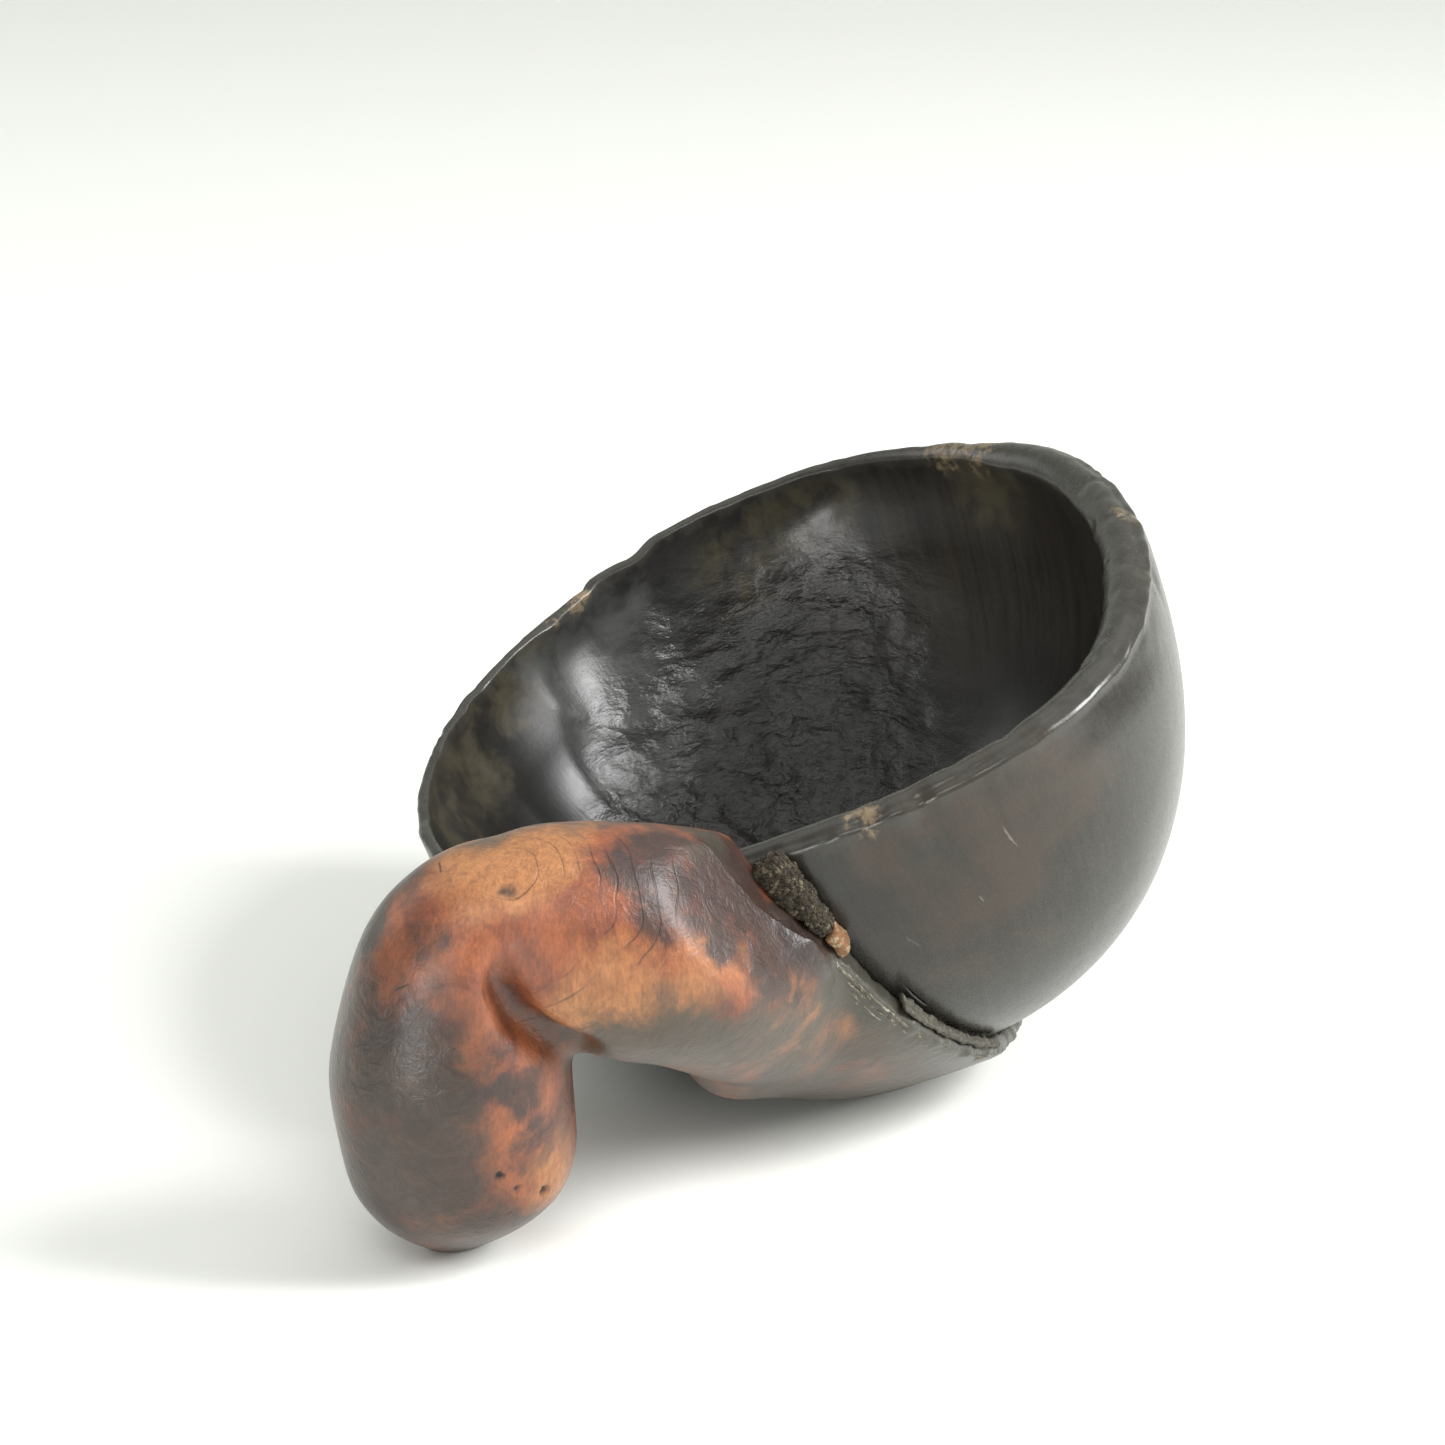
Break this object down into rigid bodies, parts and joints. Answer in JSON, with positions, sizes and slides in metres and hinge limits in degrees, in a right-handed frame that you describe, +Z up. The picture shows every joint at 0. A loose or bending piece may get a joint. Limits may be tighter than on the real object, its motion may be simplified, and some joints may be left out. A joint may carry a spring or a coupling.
{
  "type": "wooden feed scoop",
  "caption": "One-hand feed scoop of burl wood: a deep round bowl that leans on the table, a hooked knob handle whose root wraps the bowl, and a bark-filled seam.",
  "frame": {"origin": "bottom centre of the scoop's bounding box, on the surface it stands on", "axes": "+Z up, +X towards the high side of the mouth, -Y towards the handle"},
  "size_m": [0.1742, 0.2178, 0.1211],
  "materials": {
    "bowl_wood": "dark satin, oiled and worn",
    "handle_wood": "red-brown burl, hand-polished satin",
    "bark": "matte, crumbly",
    "chip_wood": "matte broken wood",
    "peg_wood": "plain whittled"
  },
  "bodies": {
    "root": {"bowl": "bowl_wood", "handle": "handle_wood", "bark_packing": "bark", "bark_lip": "bark", "seam_chip": "chip_wood", "peg_upper": "peg_wood", "peg_lower": "peg_wood"}
  },
  "joints": []
}
